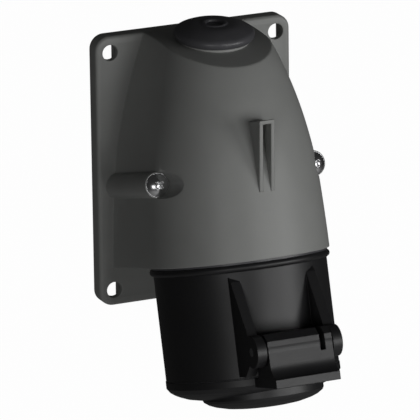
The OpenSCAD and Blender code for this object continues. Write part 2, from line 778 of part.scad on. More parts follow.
// Side outline of the knuckle block, its apron and the lip
module knuckle_outline() {
    face_lean = 0.4;
    back_gap = 1.2;
    top = -(pin_drop - ear_r);
    lip_top = -(sleeve_len + lid_gap + slide_gap);
    cove_z = lip_top + sqrt(pow(cove_r, 2) - pow(face_reach + cove_r - lip_reach, 2));
    back = sleeve_r + back_gap - lid_wall;
    difference() {
        polygon([[pin_reach, top], [face_reach - face_lean - knuckle_corner, top],
            [face_reach - face_lean, top - knuckle_corner], [face_reach, cove_z],
            [lip_reach, cove_z], [lip_reach, lip_top - lip_t], [back, lip_top - lip_t],
            [back, lip_top], [pin_reach - ear_r, lip_top], [pin_reach - ear_r, -pin_drop]]);
        translate([face_reach + cove_r, cove_z]) circle(r = cove_r);
    }
    translate([pin_reach, -pin_drop]) circle(r = ear_r);
}

module lid() {
    color("darkslategray") difference() {
        union() {
            in_socket() translate([0, 0, -(sleeve_len + lid_gap)]) lid_disc(0);
            hinge_slab(-knuckle_w, 2 * knuckle_w) knuckle_outline();
        }
        in_socket() {
            translate([0, 0, -(sleeve_len + lid_gap)]) {
                intersection() {
                    lid_disc(lid_wall);
                    translate([0, 0, -2 * lid_depth]) cylinder(r = recess_r, h = 2 * lid_depth);
                }
                difference() {
                    translate([0, 0, -gasket_t]) cylinder(r = sleeve_r - slide_gap, h = 2 * gasket_t);
                    translate([0, 0, -2 * gasket_t])
                        cylinder(r = recess_r + gasket_land, h = 4 * gasket_t);
                }
            }
            translate([0, -pin_reach, -pin_drop]) across() {
                cylinder(r = pin_r + run_gap, h = 4 * ear_in, center = true);
                translate([0, 0, coil_end - 2 * wire_r])
                    cylinder(r = chamber_r, h = slot_x + slot_w / 2 - coil_end + 2 * wire_r);
            }
            translate([slot_x - slot_w / 2, -pin_reach - 2 * ear_r, -(pin_drop + slot_drop)])
                cube([slot_w, 4 * ear_r, 2 * ear_r]);
            translate([coil_end - 2 * wire_r, -pin_reach + pin_r, -(pin_drop + slot_drop)])
                cube([slot_x - coil_end + 2 * wire_r, ear_r, 2 * ear_r]);
            translate([coil_end - 2 * wire_r, -pin_reach - chamber_r, -(pin_drop + leg_l + wire_r)])
                cube([4 * wire_r, chamber_r - coil_r + 2 * wire_r, leg_l + wire_r]);
        }
    }
}

gasket_t = 1.4;
gasket_land = 1;
slot_drop = 2.2;

module lid_gasket() {
    color("black") in_socket() translate([0, 0, -(sleeve_len + lid_gap) - gasket_t]) difference() {
        cylinder(r = sleeve_r - 2 * slide_gap, h = gasket_t + lid_gap - slide_gap);
        translate([0, 0, -cut]) cylinder(r = recess_r + gasket_land + slide_gap, h = 4 * gasket_t);
    }
}

housing();
rear_cover();
rear_gasket();
cable_grommet();
sleeve_seal();
socket_sleeve();
retaining_ring();
contact_carrier();
contact_l1();
contact_l2();
contact_l3();
contact_earth();
contact_clips();
terminal_screws();
carrier_screws();
housing_screw_left();
housing_screw_right();
screw_inserts();
hinge_pin();
lid_spring();
lid();
lid_gasket();
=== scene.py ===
"""Looks of the wall-mounted pin and sleeve receptacle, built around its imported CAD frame."""

import math

import bmesh
import bpy
import numpy as np
from bpy.props import FloatProperty, FloatVectorProperty, PointerProperty
from mathutils import Matrix, Vector
from mathutils.geometry import tessellate_polygon


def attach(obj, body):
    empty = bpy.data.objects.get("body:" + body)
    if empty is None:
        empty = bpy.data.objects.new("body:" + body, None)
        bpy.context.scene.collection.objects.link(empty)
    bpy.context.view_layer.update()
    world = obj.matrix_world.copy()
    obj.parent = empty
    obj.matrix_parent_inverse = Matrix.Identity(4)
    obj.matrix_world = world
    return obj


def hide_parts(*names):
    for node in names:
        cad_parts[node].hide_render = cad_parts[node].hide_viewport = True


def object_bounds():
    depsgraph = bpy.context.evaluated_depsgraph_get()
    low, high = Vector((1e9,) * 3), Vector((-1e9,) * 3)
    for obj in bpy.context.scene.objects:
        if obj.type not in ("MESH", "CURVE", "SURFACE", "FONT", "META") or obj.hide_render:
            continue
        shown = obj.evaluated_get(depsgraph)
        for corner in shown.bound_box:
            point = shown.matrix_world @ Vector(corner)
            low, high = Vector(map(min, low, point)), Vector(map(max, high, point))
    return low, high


bl_info = {
    "name": "Pin and sleeve receptacle",
    "version": (1, 0, 0),
    "blender": (4, 5, 0),
    "location": "3D View > Sidebar > Receptacle",
    "description": "Dresses a wall-mounted pin and sleeve receptacle and sets up its studio",
    "category": "Object",
}

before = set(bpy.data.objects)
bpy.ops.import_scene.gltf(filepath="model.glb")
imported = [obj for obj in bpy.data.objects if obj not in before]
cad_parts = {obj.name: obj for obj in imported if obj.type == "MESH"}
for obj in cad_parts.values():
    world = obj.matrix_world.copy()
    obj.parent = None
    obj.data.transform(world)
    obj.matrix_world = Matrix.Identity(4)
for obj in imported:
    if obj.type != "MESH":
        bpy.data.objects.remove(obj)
CAD_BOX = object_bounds()
MM = 0.001
RIM_TAPER = 1.86  # power of the height by which the bell narrows
FRONT_BOW = 4.2  # power of the height by which the bell's front bows back
LEAN_END = 26 * MM  # height above the rim where the bell's sections are level
ROOT = 1.3 * MM  # how far the bell reaches into the plate
OVERLAP = 0.03 * MM  # keeps two faces of a piece from lying in one plane
WELD = 0.002 * MM


def length(name, size, description):
    """A length property, given in millimetres and kept in metres."""
    return FloatProperty(name=name, description=description, default=size * MM, unit="LENGTH")


def angle(name, size, description):
    """An angle property, given in degrees and kept in radians."""
    return FloatProperty(name=name, description=description, default=math.radians(size),
                         subtype="ANGLE")


def colour(name, value, description):
    """A colour property with linear values."""
    return FloatVectorProperty(name=name, description=description, subtype="COLOR", size=3,
                               default=value)


class PlateSizes(bpy.types.PropertyGroup):
    """Wall plate, centred on the wall's origin."""

    width: length("Width", 73.4, "Width of the plate")
    height: length("Height", 97.05, "Height of the plate")
    depth: length("Depth", 5.8, "From the wall to the plate's face")
    corner_r: length("Corner radius", 5.0, "Radius of the corners")
    edge_r: length("Edge radius", 1.2, "Rounding of the front edge")
    skirt: length("Skirt", 2.7, "Wall of the skirt at the sides")
    skirt_end: length("Skirt end", 1.35, "Wall of the skirt at top and bottom")
    face_wall: length("Face wall", 2.4, "Thickness behind the face")
    hole_r: length("Hole radius", 2.8, "Radius of the fixing holes")
    hole_x: length("Hole place across", 31.3, "Fixing holes from the middle, across")
    hole_z: length("Hole place up", 42.8, "Fixing holes from the middle, up and down")
    hole_edge: length("Hole edge", 0.25, "Rounding of the holes' edges")


class BellSizes(bpy.types.PropertyGroup):
    """Bell that carries the socket, as distances in front of the plate's face."""

    tilt: angle("Tilt", 15.2, "Lean of the socket's axis from the wall")
    reach: length("Mouth reach", 36.35, "Mouth's centre in front of the plate")
    drop: length("Mouth drop", 24.915, "Mouth's centre below the plate's centre")
    rim_r: length("Rim radius", 31.4, "Half width at the mouth")
    top_r: length("Top radius", 18.3, "Half width at the top")
    bow: length("Bow", 11.5, "How far the front bows back at the top")
    draft: length("Draft", -0.3, "How much the flank draws in at the plate, or below 0 flares")
    crown_r: length("Crown radius", 143.0, "Radius of the crowned top")
    crown_reach: length("Crown reach", 6.4, "Crest of the crown in front of the plate")
    foot_r: length("Foot radius", 0.2, "Soft joint with the plate")
    wall: length("Wall", 1.6, "Thickness of the shell")
    edge: length("Edge", 0.55, "Softness of the rim's and the crown's edges")
    mouth_r: length("Mouth radius", 25.6, "Bore of the mouth")
    entry_r: length("Entry radius", 10.6, "Cable entry in the crown")


class FittingSizes(bpy.types.PropertyGroup):
    """Bosses, their screws and the front rib."""

    boss_r: length("Boss radius", 4.55, "Outer radius of a screw boss")
    boss_x: length("Boss place", 29.3, "Boss axis from the middle")
    boss_rise: length("Boss rise", 28.7, "Boss axis above the mouth, along the socket's axis")
    seat: length("Seat", 6.0, "Screw seat in front of the socket's axis")
    head_r: length("Head radius", 4.15, "Radius of a screw head")
    head_h: length("Head height", 2.4, "Height of a screw head")
    shank_r: length("Shank radius", 2.0, "Radius of a screw's thread")
    cross_w: length("Cross width", 0.7, "Width of an arm of the cross recess")
    cross_l: length("Cross length", 1.3, "Reach of an arm of the cross recess")
    cross_h: length("Cross depth", 0.9, "Depth of the cross recess")
    rib_w: length("Rib width", 5.7, "Width of the hollow rib")
    rib_wall: length("Rib wall", 1.42, "Wall of the hollow rib")
    rib_top: length("Rib top", 30.5, "Top of the rib above the plate's centre")
    rib_foot: length("Rib foot", 5.2, "Lower end of the rib above the plate's centre")
    rib_depth: length("Rib depth", 10.2, "Depth of the rib's top in front of the bell")
    edge: length("Edge", 0.28, "Rounding of the fittings' edges")


class GrommetSizes(bpy.types.PropertyGroup):
    """Domed grommet in the crown."""

    reach: length("Reach", 17.7, "Axis in front of the plate, on the crown")
    collar_r: length("Collar radius", 12.4, "Flat collar of the housing")
    collar_h: length("Collar height", 0.3, "Height of the collar on the crown")
    outer_r: length("Outer radius", 14.0, "Radius over the bead")
    bead_r: length("Bead radius", 1.9, "Radius of the bead's edge")
    dome: length("Dome", 5.92, "Height above the collar")
    nipple_r: length("Nipple radius", 4.1, "Radius of the nipple ring")
    neck_r: length("Neck radius", 10.5, "Neck through the housing")
    lip: length("Lip", 1.4, "Width of the lip behind the housing's wall")
    skin: length("Skin", 1.6, "Thickness of the rubber")


class SpringSizes(bpy.types.PropertyGroup):
    """Torsion spring on the hinge pin."""

    pin_reach: length("Pin reach", 38.2, "Pin from the socket's axis")
    pin_drop: length("Pin drop", 30.0, "Pin below the mouth")
    wire_r: length("Wire radius", 0.45, "Radius of the wire")
    coil_r: length("Coil radius", 3.0, "Radius of the coil's centre line")
    pitch: length("Pitch", 1.17, "Advance of one turn")
    start: length("Start", 8.29, "First turn from the middle")
    sleeve_r: length("Sleeve radius", 30.0, "Radius of the sleeve that the leg rests on")
    turns: FloatProperty(name="Turns", description="Turns of the coil", default=5.25)


class CameraSizes(bpy.types.PropertyGroup):
    """Where the camera stands, as seen from the middle of the wall plate's face."""

    turn: angle("Turn", 23.62, "Angle from straight ahead, to the object's left")
    rise: angle("Rise", 16.56, "Angle above the horizon")
    roll: angle("Roll", 0.83, "Lean of the picture, clockwise for the camera")
    distance: length("Distance", 2000.0, "From the plate's face to the camera")
    lens: FloatProperty(name="Lens", description="Focal length on a 36 mm sensor", default=492.1)
    plate_depth: length("Plate depth", 5.8, "From the wall to the plate's face")
    plate_rise: length("Plate rise", 0.225, "Point looked round above the plate's centre")
    aim_right: length("Aim right", 5.16, "Middle of the picture, right of that point")
    aim_down: length("Aim down", 17.41, "Middle of the picture, below that point")


class StudioSizes(bpy.types.PropertyGroup):
    """Floor, lights and fill."""

    floor_drop: length("Floor drop", 600.0, "Floor below the part's lowest point")
    floor_span: length("Floor reach", 6000.0, "From the middle to the floor's edge")
    floor: colour("Floor", (0.70, 0.70, 0.70), "Pale paper")
    floor_white: FloatProperty(name="Floor white", description="White seen by the camera",
                               default=0.985)
    light: length("Light size", 500.0, "Side of a square light")
    light_reach: length("Light reach", 1300.0, "From the part to a light")
    fill: FloatProperty(name="Fill", description="Strength of the even fill", default=0.02)


class Finishes(bpy.types.PropertyGroup):
    """Colours of the materials, as linear values."""

    housing: colour("Housing", (0.36, 0.366, 0.354), "Grey moulded housing")
    black: colour("Sleeve and lid", (0.013, 0.013, 0.014), "Near-black moulded plastic")
    rubber: colour("Rubber", (0.095, 0.095, 0.102), "Grommet and seals")
    carrier: colour("Contact carrier", (0.030, 0.031, 0.034), "Insulating block")
    chrome: colour("Screw heads", (0.92, 0.92, 0.93), "Bright plated screws")
    steel: colour("Steel", (0.50, 0.51, 0.52), "Pin, spring and small screws")
    brass: colour("Brass", (0.72, 0.50, 0.22), "Contacts and threaded bushes")


def quads(rows, columns, around=True, along=False):
    """Corner numbers of a grid's quads, closed round its columns or along its rows."""
    row = np.arange(rows if along else rows - 1)[:, None]
    column = np.arange(columns if around else columns - 1)[None, :]
    up, on = (row + 1) % rows, (column + 1) % columns
    corners = (row, column), (row, on), (up, on), (up, column)
    return np.stack([r * columns + c for r, c in corners], axis=-1).reshape(-1, 4)


def softened(corners, radii, closed=True, steps=6):
    """Outline whose corners are eased: each becomes a quadratic curve between two tangent points.

    A corner K with neighbours A and B turns into (1-t)^2 P + 2t(1-t) K + t^2 Q, where P and Q lie
    the corner's radius away from K towards A and B, at most 0.48 of those sides.
    """
    k = np.asarray(corners, float)
    r = np.broadcast_to(np.asarray(radii, float), (len(k),))[:, None]
    a, b = np.roll(k, 1, axis=0) - k, np.roll(k, -1, axis=0) - k
    la, lb = np.linalg.norm(a, axis=1, keepdims=True), np.linalg.norm(b, axis=1, keepdims=True)
    p, q = k + a * np.minimum(r / la, 0.48), k + b * np.minimum(r / lb, 0.48)
    t = np.linspace(0.0, 1.0, steps)[None, :, None]
    curve = (1 - t) ** 2 * p[:, None] + 2 * t * (1 - t) * k[:, None] + t ** 2 * q[:, None]
    if not closed:
        curve[0], curve[-1] = k[0], k[-1]
    return curve.reshape(-1, 2)


def turned(profile, steps=96):
    """Surface of revolution: (r cos a, r sin a, z) for each profile point (r, z) and angle a."""
    a = np.linspace(0.0, 2 * np.pi, steps, endpoint=False)[None, :]
    r, z = profile[:, 0, None], profile[:, 1, None]
    return np.stack([r * np.cos(a), r * np.sin(a), z + 0 * a], axis=-1)


def tube(path, radius, sides=14):
    """Round wire: each path point plus radius (n cos a + b sin a), n and b square to the path."""
    along = np.gradient(path, axis=0)
    along /= np.linalg.norm(along, axis=1, keepdims=True)
    n = np.cross(along, [1.0, 0.2, 0.1])
    n /= np.linalg.norm(n, axis=1, keepdims=True)
    b = np.cross(along, n)
    a = np.linspace(0.0, 2 * np.pi, sides, endpoint=False)[None, :, None]
    return path[:, None] + radius * (n[:, None] * np.cos(a) + b[:, None] * np.sin(a))


def slab(outline, low, high, edge, steps=4):
    """Slab between two depths: the outline is repeated at each depth, drawn in along its own
    normals by edge (1 - sin t) where the depth is edge (1 - cos t) inside an end face.

    Gives the grid (outline's first coordinate, second coordinate, depth).
    """
    following = np.roll(outline, -1, axis=0)
    ahead = following - np.roll(outline, 1, axis=0)
    ahead /= np.maximum(np.linalg.norm(ahead, axis=1, keepdims=True), 1e-12)
    area = np.sum(outline[:, 0] * following[:, 1] - outline[:, 1] * following[:, 0])
    inward = np.sign(area) * np.stack([-ahead[:, 1], ahead[:, 0]], axis=1)
    t = np.linspace(0.0, np.pi / 2, steps)
    depth = np.concatenate([low + edge * (1 - np.cos(t)), high - edge * (1 - np.cos(t[::-1]))])
    inset = np.concatenate([edge * (1 - np.sin(t)), edge * (1 - np.sin(t[::-1]))])
    flat = outline[None] + inward[None] * inset[:, None, None]
    return np.concatenate([flat, depth[:, None, None] + 0 * flat[..., :1]], axis=2)


def capped(grid):
    """Faces of a grid closed round its columns, with one face over each end row."""
    rows, columns = grid.shape[:2]
    faces = quads(rows, columns).tolist()
    faces.append(list(range(columns))[::-1])
    faces.append([(rows - 1) * columns + i for i in range(columns)])
    return faces


def piece(name, parts, material, body, node, sharp=38.0):
    """Joins parts (points, faces) into one object, welded and smooth, that rides on a body and
    stands for a CAD node. Edges over the angle sharp, in degrees, stay sharp."""
    mesh = bpy.data.meshes.new(name)
    points, faces, start = [], [], 0
    for part_points, part_faces in parts:
        flat = np.asarray(part_points, float).reshape(-1, 3)
        points.append(flat)
        faces += [[int(corner) + start for corner in face] for face in part_faces]
        start += len(flat)
    mesh.from_pydata(np.concatenate(points).tolist(), [], faces)
    work = bmesh.new()
    work.from_mesh(mesh)
    bmesh.ops.remove_doubles(work, verts=work.verts, dist=WELD)
    bmesh.ops.recalc_face_normals(work, faces=work.faces)
    work.to_mesh(mesh)
    work.free()
    mesh.shade_smooth()
    mesh.set_sharp_from_angle(angle=math.radians(sharp))
    mesh.materials.append(bpy.data.materials[material + "_look"])
    made = bpy.data.objects.new(name, mesh)
    bpy.context.scene.collection.objects.link(made)
    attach(made, body)
    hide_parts(node)


def in_socket(points, bell, plate):
    """World places of points (x, m to the front, a up the axis) of the socket's frame."""
    x, m, a = points[..., 0], points[..., 1], points[..., 2]
    s, c = math.sin(bell.tilt), math.cos(bell.tilt)
    return np.stack([x, -(plate.depth + bell.reach + m * c - a * s), -bell.drop + m * s + a * c],
                    axis=-1)


def crown_middle(bell, plate):
    """Height of the middle of the crown's circle, which meets the plate's top edge."""
    return plate.height / 2 - math.sqrt(bell.crown_r ** 2 - bell.crown_reach ** 2)


def crown_height(depth, bell, plate):
    """Height of the crowned top at a depth in front of the plate: a circle's arc."""
    rise = np.sqrt(bell.crown_r ** 2 - (depth - bell.crown_reach) ** 2)
    return crown_middle(bell, plate) + rise


def on_crown(points, reach, bell, plate):
    """World places of points whose third coordinate stands square on the crown at that reach."""
    turn = math.asin((reach - bell.crown_reach) / bell.crown_r)
    s, c = math.sin(turn), math.cos(turn)
    x, y, z = points[..., 0], points[..., 1], points[..., 2] + bell.crown_r
    return np.stack([x, -(plate.depth + bell.crown_reach) + y * c - z * s,
                     crown_middle(bell, plate) + y * s + z * c], axis=-1)


class BellForm:
    """The bell's side surface as a function of a column and a height on the bell's front line.

    The columns run round a section: the right flank from the plate, the round front, the left
    flank, and the line back along the plate.
    """

    def __init__(self, bell, plate):
        self.bell = bell
        self.low = -bell.drop + bell.rim_r * math.sin(bell.tilt)
        self.low_depth = bell.reach + bell.rim_r * math.cos(bell.tilt)
        self.high = plate.height / 2
        foot = bell.foot_r * (1 - np.cos(np.linspace(0.0, np.pi / 2, 7)))
        self.depth = np.concatenate([[-ROOT], foot])
        self.share = np.linspace(0.0, 1.0, 9)[1:-1]
        ends = np.linspace(0, 0.25, 44)
        steps = np.concatenate([np.linspace(0, 1, 90), ends, 1 - ends])
        self.arc = np.pi * np.unique(steps.round(6))
        self.back = np.linspace(-1.0, 1.0, 26)[1:-1]
        self.columns = 2 * (len(self.depth) + len(self.share)) + len(self.arc) + len(self.back)

    def lead(self, f):
        """Depth of the front line at the height f: along the tilt, less a bow that grows by the
        power FRONT_BOW."""
        u = np.maximum((f - self.low) / (self.high - self.low), 0.0)
        straight = self.low_depth - (f - self.low) * math.tan(self.bell.tilt)
        return straight - self.bell.bow * u ** FRONT_BOW

    def section(self, f):
        """Section at front height f: half width, depth and height of its centre, its lean."""
        bell = self.bell
        u = np.maximum((f - self.low) / (self.high - self.low), 0.0)
        r = bell.rim_r - (bell.rim_r - bell.top_r) * u ** RIM_TAPER
        t = np.clip((f - self.low) / LEAN_END, 0.0, 1.0)
        lean = bell.tilt * (1 - t * t * (3 - 2 * t))
        return r, self.lead(f) - r * np.cos(lean), f - r * np.sin(lean), lean

    def at(self, f):
        """Points of all columns at the front heights f (rows, columns): x, depth and height.

        The front is x = r cos a, depth = deep + r sin a cos lean; a flank runs straight from it
        to the plate, drawn in by the draft, with a quarter circle of foot_r as its foot. Each
        section lies in a plane that leans: z = mid + (depth - deep) tan lean.
        """
        bell = self.bell
        r, deep, mid, lean = self.section(f)
        n1, n2, n3 = len(self.depth), len(self.share), len(self.arc)
        x, d = np.empty_like(f), np.empty_like(f)
        right = np.arange(n1 + n2)
        front = n1 + n2 + np.arange(n3)
        left = front[-1] + 1 + np.arange(n1 + n2)
        back = left[-1] + 1 + np.arange(len(self.back))

        d[:, right[:n1]] = self.depth
        d[:, right[n1:]] = bell.foot_r + (deep[:, right[n1:]] - bell.foot_r) * self.share
        d[:, left[:n2]] = bell.foot_r + (deep[:, left[:n2]] - bell.foot_r) * self.share[::-1]
        d[:, left[n2:]] = self.depth[::-1]
        for flank, side in ((right, 1), (left, -1)):
            short = np.maximum(bell.foot_r - np.maximum(d[:, flank], 0.0), 0.0)
            foot = bell.foot_r - np.sqrt(bell.foot_r ** 2 - short ** 2)
            drawn = bell.draft * (1 - np.clip(d[:, flank] / deep[:, flank], 0, 1))
            x[:, flank] = side * (r[:, flank] - drawn + foot)

        d[:, front] = deep[:, front] + r[:, front] * np.sin(self.arc) * np.cos(lean[:, front])
        x[:, front] = r[:, front] * np.cos(self.arc)
        d[:, back] = -ROOT
        x[:, back] = (r[:, back] - bell.draft + bell.foot_r) * self.back
        z = mid + (d - deep) * np.tan(lean)
        return np.stack([x, d, z], axis=-1)


class Term:
    """A shader value: Python's operators on it add the Math nodes that work it out."""

    def __init__(self, tree, socket):
        self.tree = tree
        self.socket = socket

    def node(self, kind, output=0, settings=None, **values):
        """Adds a node of a kind, sets it up, then fills its sockets with values or links.

        A socket is named by its own name, or by i and its number.
        """
        made = self.tree.nodes.new(kind)
        for key, value in (settings or {}).items():
            setattr(made, key, value)
        for key, value in values.items():
            slot = made.inputs[int(key[1:]) if key[1:].isdigit() else key]
            if isinstance(value, Term):
                self.tree.links.new(value.socket, slot)
            else:
                slot.default_value = value
        return Term(self.tree, made.outputs[output])

    def math(self, operation, a, b):
        """Adds a Math node of an operation on two terms or numbers."""
        return self.node("ShaderNodeMath", settings={"operation": operation}, i0=a, i1=b)

    def __add__(self, other):
        return self.math("ADD", self, other)

    def __radd__(self, other):
        return self.math("ADD", other, self)

    def __sub__(self, other):
        return self.math("SUBTRACT", self, other)

    def __rsub__(self, other):
        return self.math("SUBTRACT", other, self)

    def __mul__(self, other):
        return self.math("MULTIPLY", self, other)

    def __rmul__(self, other):
        return self.math("MULTIPLY", other, self)

    def __truediv__(self, other):
        return self.math("DIVIDE", self, other)

    def __pow__(self, other):
        return self.math("POWER", self, other)


def new_material(name, colour, roughness, metallic=0.0):
    """An empty material with its shader: gives the material, a start term and the shader node."""
    made = bpy.data.materials.new(name + "_look")
    made.use_nodes = True
    shader = made.node_tree.nodes["Principled BSDF"]
    shader.inputs["Base Color"].default_value = (*colour, 1.0)
    shader.inputs["Roughness"].default_value = roughness
    shader.inputs["Metallic"].default_value = metallic
    coords = made.node_tree.nodes.new("ShaderNodeTexCoord")
    return made, Term(made.node_tree, coords.outputs["Object"]), shader


def noise(place, size, detail=3.0):
    """Noise from 0 to 1 whose features are about size metres across."""
    return place.node("ShaderNodeTexNoise", Vector=place, Scale=1.0 / size, Detail=detail,
                      Roughness=0.55)


def tint(place, mask, dark, light):
    """Colour between dark and light by a mask."""
    return place.node("ShaderNodeMix", output=2, settings={"data_type": "RGBA"},
                      i0=mask, i6=(*dark, 1.0), i7=(*light, 1.0))


def feed(term, shader, name):
    """Links a term to one of the shader's sockets."""
    term.tree.links.new(term.socket, shader.inputs[name])


def relief(place, height, depth, edge):
    """Normal of a fine relief of that depth in metres, with edges rounded by the radius edge."""
    rounded = place.node("ShaderNodeBevel", settings={"samples": 6}, Radius=edge)
    return place.node("ShaderNodeBump", Height=height, Distance=depth, Normal=rounded)


def moulded_plastic(name, colour, roughness, edge, shine=0.5):
    """Satin moulding: a faint cloudy tone, a fine spark-eroded grain and softened edges.

    The tone goes from 12% below to 12% above the colour; the gloss varies by 0.09 both ways.
    """
    made, place, shader = new_material(name, colour, roughness)
    shader.inputs["Specular IOR Level"].default_value = shine
    cloud = noise(place, 14 * MM)
    grain = noise(place, 0.35 * MM, 2.0)
    feed(tint(place, cloud * 0.7 + grain * 0.3, [c * 0.88 for c in colour],
              [c * 1.12 for c in colour]), shader, "Base Color")
    feed(grain * 0.10 + cloud * 0.08 + (roughness - 0.09), shader, "Roughness")
    feed(relief(place, grain, 0.012 * MM, edge), shader, "Normal")
    return made


def soft_rubber(name, colour, edge):
    """Smooth rubber with a dull bloom in soft clouds, between roughness 0.28 and 0.40."""
    made, place, shader = new_material(name, colour, 0.5)
    bloom = noise(place, 6 * MM, 4.0)
    skin = noise(place, 0.25 * MM, 2.0)
    feed(tint(place, bloom, [c * 0.85 for c in colour], [c * 1.25 for c in colour]),
         shader, "Base Color")
    feed(bloom * 0.12 + 0.28, shader, "Roughness")
    feed(relief(place, skin, 0.006 * MM, edge), shader, "Normal")
    return made


def plated_metal(name, colour, roughness):
    """Metal with a faint haze and fine turning marks that vary its gloss."""
    made, place, shader = new_material(name, colour, roughness, 1.0)
    marks = noise(place, 0.3 * MM, 2.0)
    haze = noise(place, 3 * MM)
    feed(tint(place, haze, [c * 0.92 for c in colour], colour), shader, "Base Color")
    feed(marks * 0.08 + haze * 0.08 + (roughness - 0.04), shader, "Roughness")
    feed(relief(place, marks, 0.003 * MM, 0.12 * MM), shader, "Normal")
    return made


NODE_FINISH = {
    "housing": "housing_plastic", "rear_cover": "housing_plastic", "rear_gasket": "seal_rubber",
    "cable_grommet": "seal_rubber", "sleeve_seal": "seal_rubber", "socket_sleeve": "black_plastic",
    "retaining_ring": "black_plastic", "contact_carrier": "carrier_plastic",
    "contact_l1": "contact_brass", "contact_l2": "contact_brass", "contact_l3": "contact_brass",
    "contact_earth": "contact_brass", "contact_clips": "steel", "terminal_screws": "steel",
    "carrier_screws": "steel", "housing_screw_left": "screw_chrome",
    "housing_screw_right": "screw_chrome", "screw_inserts": "contact_brass", "hinge_pin": "steel",
    "lid_spring": "steel", "lid": "black_plastic", "lid_gasket": "seal_rubber",
}


class RECEPTACLE_OT_finishes(bpy.types.Operator):
    """Makes the materials and gives every CAD node its own"""

    bl_idname = "receptacle.finishes"
    bl_label = "Finishes"

    def execute(self, context):
        tones = context.scene.receptacle_finishes
        kinds = {
            "housing_plastic": (moulded_plastic, tones.housing, 0.46, 0.35 * MM),
            "black_plastic": (moulded_plastic, tones.black, 0.46, 0.30 * MM, 0.75),
            "carrier_plastic": (moulded_plastic, tones.carrier, 0.5, 0.25 * MM),
            "seal_rubber": (soft_rubber, tones.rubber, 0.25 * MM),
            "screw_chrome": (plated_metal, tones.chrome, 0.19),
            "steel": (plated_metal, tones.steel, 0.28),
            "contact_brass": (plated_metal, tones.brass, 0.25),
        }
        made = {slot: make(slot, *values) for slot, (make, *values) in kinds.items()}
        for name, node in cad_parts.items():
            node.data.materials.clear()
            node.data.materials.append(made[NODE_FINISH[name]])
        return {"FINISHED"}


def area_light(name, place, target, size, power):
    """Square soft light of a size in metres at place, aimed at target."""
    lamp = bpy.data.lights.new(name, "AREA")
    lamp.size = size
    lamp.energy = power
    made = bpy.data.objects.new(name, lamp)
    made.location = place
    made.rotation_euler = (Vector(target) - Vector(place)).to_track_quat("-Z", "Y").to_euler()
    bpy.context.scene.collection.objects.link(made)


def shown_white(tree, shaded, weight):
    """White for camera rays by weight, the shaded result for the rest."""
    path = tree.nodes.new("ShaderNodeLightPath")
    seen = Term(tree, path.outputs["Is Camera Ray"])
    white = tree.nodes.new("ShaderNodeEmission")
    blend = tree.nodes.new("ShaderNodeMixShader")
    tree.links.new((seen * weight).socket, blend.inputs[0])
    tree.links.new(shaded, blend.inputs[1])
    tree.links.new(white.outputs[0], blend.inputs[2])
    return blend.outputs[0]


def bell_surface(bell, plate, fit, grommet):
    """Whole bell as one closed grid: underside, soft rim, side, soft top edge, crown, inside.

    Columns run round the bell; a side row is BellForm.at for front heights that go from the rim
    to the height where each column meets the crown. Soft edges are quadratic curves between the
    neighbouring rows. The side steps in to a cylinder in front of each screw seat, and has its
    rows closer together there.
    """
    form = BellForm(bell, plate)
    rim = form.at(np.full((1, form.columns), form.low))[0]
    top = np.full((1, form.columns), form.high)
    for _ in range(12):
        reached = form.at(top)[0]
        top = top + (crown_height(reached[:, 1], bell, plate) - reached[:, 2])[None]
    steps = np.unique(np.concatenate([np.linspace(0, 1, 56), np.linspace(0.18, 0.40, 130)]))
    side = form.at(form.low + (top - form.low) * steps[:, None])
    troughs(side, bell, fit)

    centre = np.array([0.0, bell.reach, -bell.drop])
    off = rim - centre
    turn = np.arctan2(off[:, 1] / math.cos(bell.tilt), off[:, 0])
    s, c = np.sin(turn), np.cos(turn)
    ring = np.stack([c, s * math.cos(bell.tilt), s * math.sin(bell.tilt)], axis=1)
    bore = centre + bell.mouth_r * ring
    shares = np.array([0.0, 0.3, 0.6, 0.8, 0.9, 0.95, 1.0])[:, None, None]
    under = bore + (rim - bore) * shares

    middle = np.array([0.0, grommet.reach])
    edge = side[-1, :, :2]
    out = edge - middle
    turn = np.arctan2(out[:, 1], out[:, 0])
    entry = middle + bell.entry_r * np.stack([np.cos(turn), np.sin(turn)], axis=1)
    shares = np.array([0.0, 0.06, 0.1, 0.2, 0.4, 0.6, 0.8, 1.0])[:, None, None]
    flat = edge + (entry - edge) * shares
    crown = np.concatenate([flat, crown_height(flat[..., 1], bell, plate)[..., None]], axis=2)

    grid = np.concatenate([under[:-1], eased(under[-2], side[0], side[3], bell.edge), side[4:-3],
                           eased(side[-3], side[-1], crown[1], bell.edge), crown[1:],
                           inner_rows(side, crown[-1], bore, bell, plate)])
    world = np.stack([grid[..., 0], -(plate.depth + grid[..., 1]), grid[..., 2]], axis=-1)
    return world, quads(*world.shape[:2], along=True)


def inner_rows(side, entry, bore, bell, plate):
    """Inside of the shell, from the entry back to the bore: each side row drawn towards its own
    middle by the wall and kept a wall below the crown, between the entry lowered and the bore
    raised by a wall."""
    rows = side[::-1][[0, 2, 8, 16, 30, 60, 90, 120, 150, 165, -8]].copy()
    middle = (rows[..., 1].max(axis=1) + rows[..., 1].min(axis=1))[:, None] / 2
    off = np.stack([rows[..., 0], rows[..., 1] - middle], axis=-1)
    off *= 1 - bell.wall / np.linalg.norm(off, axis=-1, keepdims=True)
    rows[..., 0], rows[..., 1] = off[..., 0], off[..., 1] + middle
    rows[..., 2] = np.minimum(rows[..., 2], crown_height(rows[..., 1], bell, plate) - bell.wall)
    down = np.array([0.0, 0.0, -bell.wall])
    up = bell.wall * np.array([0.0, -math.sin(bell.tilt), math.cos(bell.tilt)])
    return np.concatenate([(entry + down)[None], rows, (bore + up)[None]])


